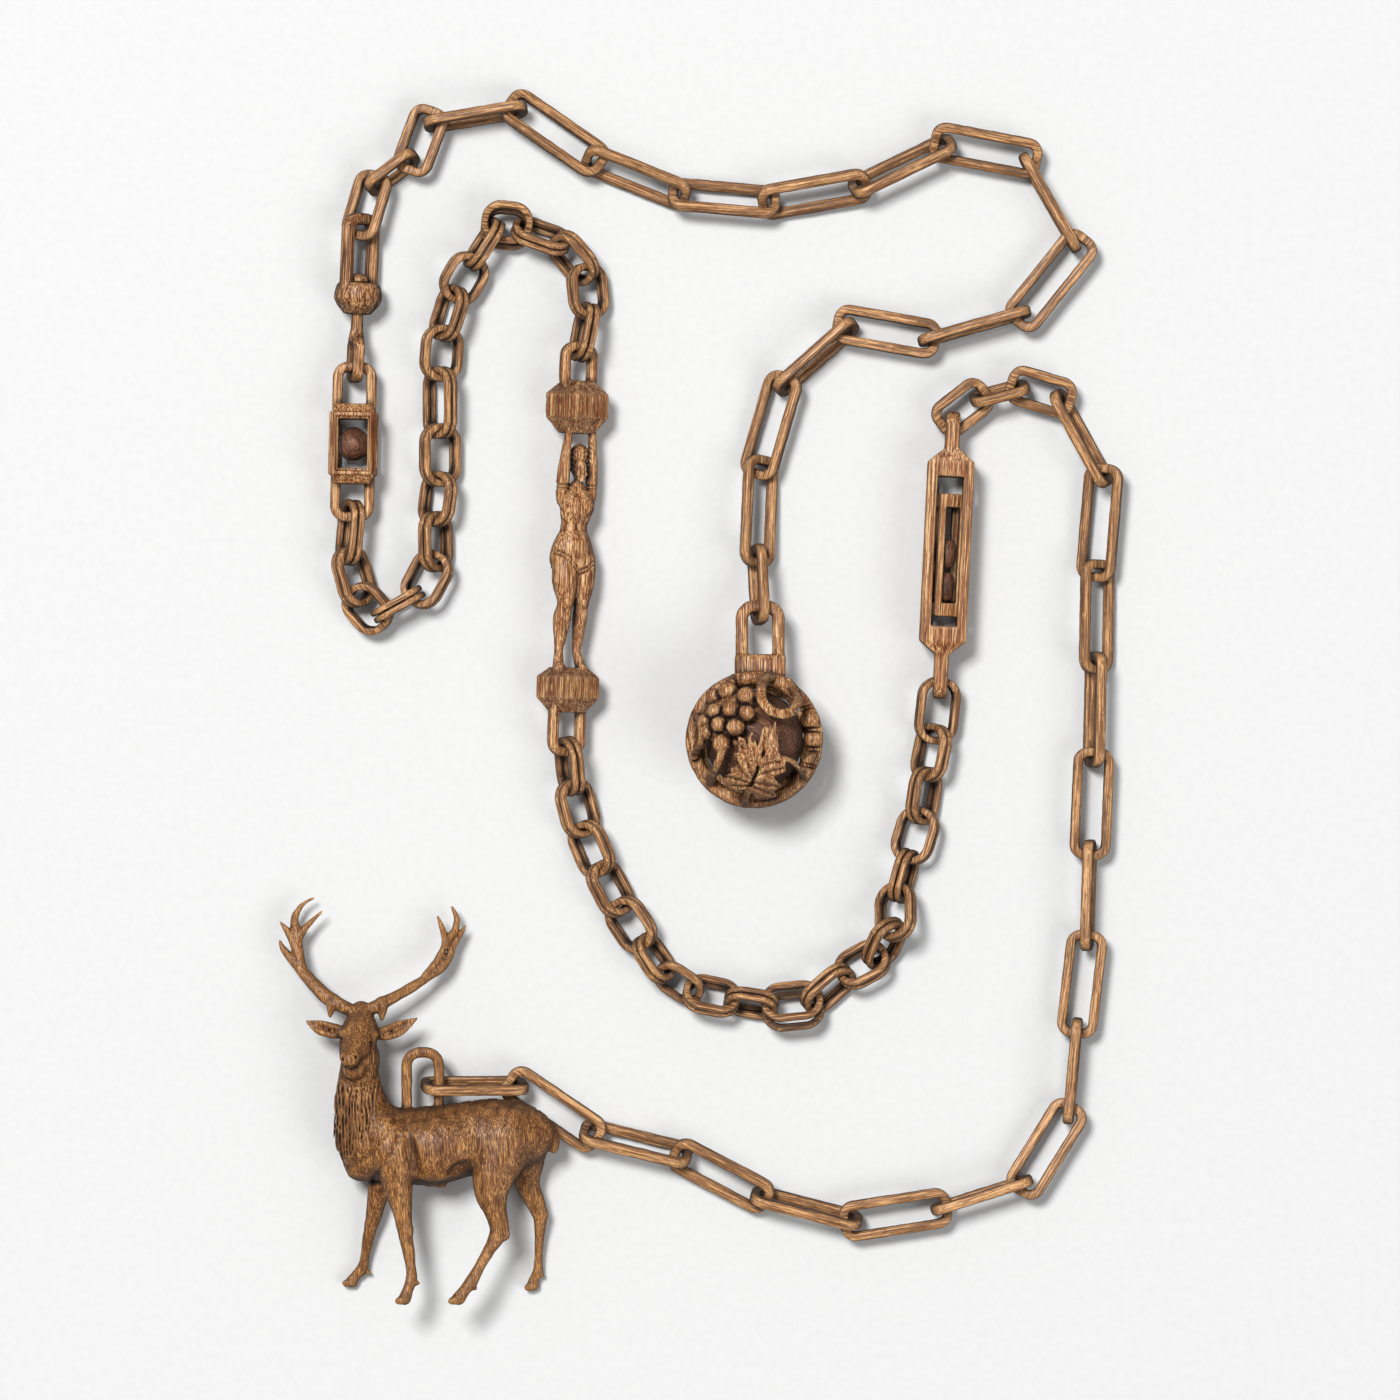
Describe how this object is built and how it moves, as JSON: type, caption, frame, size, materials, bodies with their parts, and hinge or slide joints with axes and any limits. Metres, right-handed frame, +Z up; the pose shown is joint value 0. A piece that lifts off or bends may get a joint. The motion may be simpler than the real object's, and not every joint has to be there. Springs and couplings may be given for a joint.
{
  "type": "carved wooden chain",
  "caption": "Folk-carved whimsy chain of loose wooden links with a pierced ball, swivel, ball cages, a carved woman and a stag, laid flat in a curve for display.",
  "frame": {"origin": "under the middle of the lay's box, on the table", "axes": "+X to the right and +Y to the top of the lay as seen from above, +Z up off the table"},
  "size_m": [0.4658, 0.6686, 0.0747],
  "materials": {
    "carving_wood": "rubbed, satin",
    "link_wood": "rubbed, satin",
    "stag_wood": "oiled, satin",
    "captive_wood": "dark, satin"
  },
  "bodies": {
    "root": {"carved_figure": "carving_wood", "first_double_01_to_04": "link_wood", "first_double_05_to_08": "link_wood", "first_double_09_to_12": "link_wood", "first_double_13_to_15": "link_wood", "first_double_16_to_18": "link_wood", "long_cage": "carving_wood", "long_cage_captive_1": "captive_wood", "long_cage_captive_2": "captive_wood", "long_cage_inner_cage": "carving_wood", "pendant_captive_ball": "captive_wood", "pendant_link_01": "link_wood", "pendant_link_02": "link_wood", "pendant_link_03": "link_wood", "pendant_link_04": "link_wood", "pendant_link_05": "link_wood", "pendant_link_06": "link_wood", "pendant_link_07": "link_wood", "pendant_link_08": "link_wood", "pendant_link_09": "link_wood", "pendant_link_10": "link_wood", "pendant_link_11": "link_wood", "pendant_link_12": "link_wood", "pendant_link_13": "link_wood", "pendant_link_14": "link_wood", "pendant_link_15": "link_wood", "pendant_link_16": "link_wood", "pendant_link_17": "link_wood", "pendant_link_18": "link_wood", "pierced_ball_pendant": "carving_wood", "second_double_01_to_04": "link_wood", "second_double_05_to_08": "link_wood", "second_double_09_to_12": "link_wood", "second_double_13_to_16": "link_wood", "second_double_17_to_19": "link_wood", "small_cage": "carving_wood", "small_cage_ball": "captive_wood", "stag": "stag_wood", "stag_link_01": "link_wood", "stag_link_02": "link_wood", "stag_link_03": "link_wood", "stag_link_04": "link_wood", "stag_link_05": "link_wood", "stag_link_06": "link_wood", "stag_link_07": "link_wood", "stag_link_08": "link_wood", "stag_link_09": "link_wood", "stag_link_10": "link_wood", "stag_link_11": "link_wood", "stag_link_12": "link_wood", "stag_link_13": "link_wood", "stag_link_14": "link_wood", "stag_link_15": "link_wood", "stag_link_16": "link_wood", "stag_link_17": "link_wood", "stag_link_18": "link_wood", "stag_link_19": "link_wood", "swivel_pin": "link_wood", "swivel_yoke": "link_wood"}
  },
  "joints": []
}
